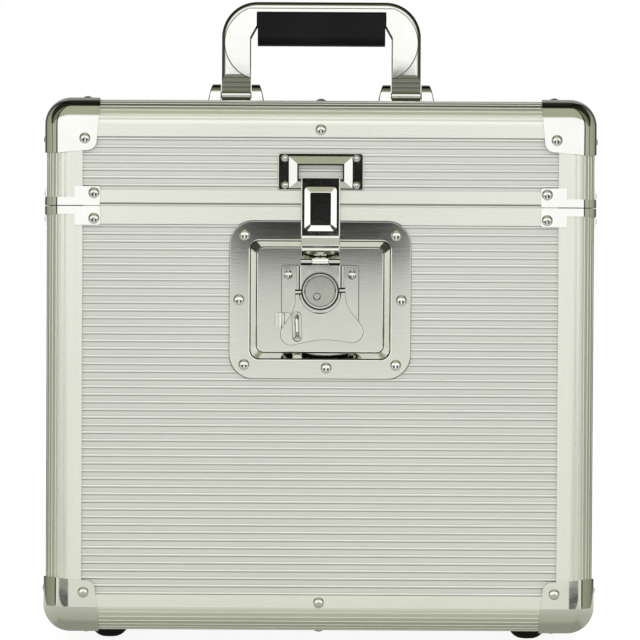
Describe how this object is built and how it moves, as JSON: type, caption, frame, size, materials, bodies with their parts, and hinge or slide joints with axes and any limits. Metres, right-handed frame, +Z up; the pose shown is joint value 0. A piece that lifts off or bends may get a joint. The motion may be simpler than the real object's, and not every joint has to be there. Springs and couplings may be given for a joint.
{
  "type": "record carrying case",
  "caption": "Upright aluminium-edged carrying case for records, with a hinged lid, a folding handle on top and a recessed turn-key latch at the front.",
  "frame": {"origin": "on the floor under the middle of the case, between the four feet", "axes": "+X right, +Y back (the latch faces -Y), +Z up"},
  "size_m": [0.3556, 0.2776, 0.4189],
  "materials": {
    "ribbed_sheet": "satin anodised, ribbed",
    "board": "raw fibreboard",
    "edge_extrusion": "satin anodised",
    "chromed_pressing": "bright chrome",
    "rivet_steel": "bright",
    "dish_steel": "soft bright plate",
    "key_steel": "bright plate",
    "mechanism_steel": "plated",
    "hinge_steel": "bright plate",
    "foam_lining": "matte foam",
    "grip_moulding": "fine satin",
    "foot_rubber": "matte"
  },
  "bodies": {
    "case": {"base_plate_rivets": "rivet_steel", "body_back_board": "board", "body_back_lining": "foam_lining", "body_back_skin": "ribbed_sheet", "body_corner_posts": "edge_extrusion", "body_front_board": "board", "body_front_lining": "foam_lining", "body_front_skin": "ribbed_sheet", "body_rim": "edge_extrusion", "body_rim_clips": "chromed_pressing", "body_rivets": "rivet_steel", "body_side_boards": "board", "body_side_linings": "foam_lining", "body_side_skins": "ribbed_sheet", "bottom_board": "board", "bottom_corner_caps": "chromed_pressing", "bottom_edge_trims": "edge_extrusion", "bottom_skin": "ribbed_sheet", "dish_rivets": "rivet_steel", "feet": "foot_rubber", "floor_lining": "foam_lining", "foot_screws": "mechanism_steel", "hinge_body_leaves": "hinge_steel", "hinge_body_rivets": "rivet_steel", "hinge_pins": "mechanism_steel", "latch_base_plate": "chromed_pressing", "latch_dish": "dish_steel", "padlock_staple": "mechanism_steel", "wing_clip": "mechanism_steel"},
    "turnkey": {"turnkey_rotor": "key_steel", "wing_pins": "mechanism_steel"},
    "wing": {"turnkey_wing": "key_steel"},
    "slider": {"latch_slider": "mechanism_steel", "hook_pin": "mechanism_steel"},
    "hook": {"latch_hook": "chromed_pressing"},
    "lid": {"lid_front_skin": "ribbed_sheet", "lid_back_skin": "ribbed_sheet", "lid_side_skins": "ribbed_sheet", "lid_top_skin": "ribbed_sheet", "lid_front_board": "board", "lid_back_board": "board", "lid_side_boards": "board", "lid_top_board": "board", "lid_corner_posts": "edge_extrusion", "lid_top_trims": "edge_extrusion", "lid_rim": "edge_extrusion", "top_corner_caps": "chromed_pressing", "lid_rim_clips": "chromed_pressing", "lid_rivets": "rivet_steel", "catch_plate": "chromed_pressing", "catch_rivets": "rivet_steel", "lid_lining": "foam_lining", "handle_brackets": "chromed_pressing", "bracket_rivets": "rivet_steel", "handle_pins": "mechanism_steel", "hinge_lid_leaves": "hinge_steel", "hinge_lid_rivets": "rivet_steel"},
    "handle": {"handle_bail": "chromed_pressing", "handle_grip": "grip_moulding"}
  },
  "joints": [
    {"name": "lid_hinge", "type": "hinge", "parent": "case", "child": "lid", "pos_m": [0, 0.1332, 0.279], "axis": [-1, 0, 0], "range_deg": [0, 100]},
    {"name": "handle_fold", "type": "hinge", "parent": "lid", "child": "handle", "pos_m": [0, 0, 0.35615], "axis": [1, 0, 0], "range_deg": [-85, 85]},
    {"name": "key_turn", "type": "hinge", "parent": "case", "child": "turnkey", "pos_m": [0, -0.13, 0.2253], "axis": [0, 1, 0], "range_deg": [0, 180]},
    {"name": "wing_fold", "type": "hinge", "parent": "turnkey", "child": "wing", "pos_m": [0, -0.1259, 0.2253], "axis": [-0.999, 0, -0.0436], "range_deg": [0, 90]},
    {"name": "hook_lift", "type": "slide", "parent": "case", "child": "slider", "axis": [0, 0, 1], "range_m": [0, 0.0048]},
    {"name": "hook_tilt", "type": "hinge", "parent": "slider", "child": "hook", "pos_m": [0, -0.1222, 0.24425], "axis": [1, 0, 0], "range_deg": [0, 90]}
  ],
  "couplings": [
    {"joint": "wing_fold", "follows": "key_turn", "ratio": 0.5},
    {"joint": "hook_lift", "follows": "key_turn", "m_per_rad": 0.0015279}
  ]
}
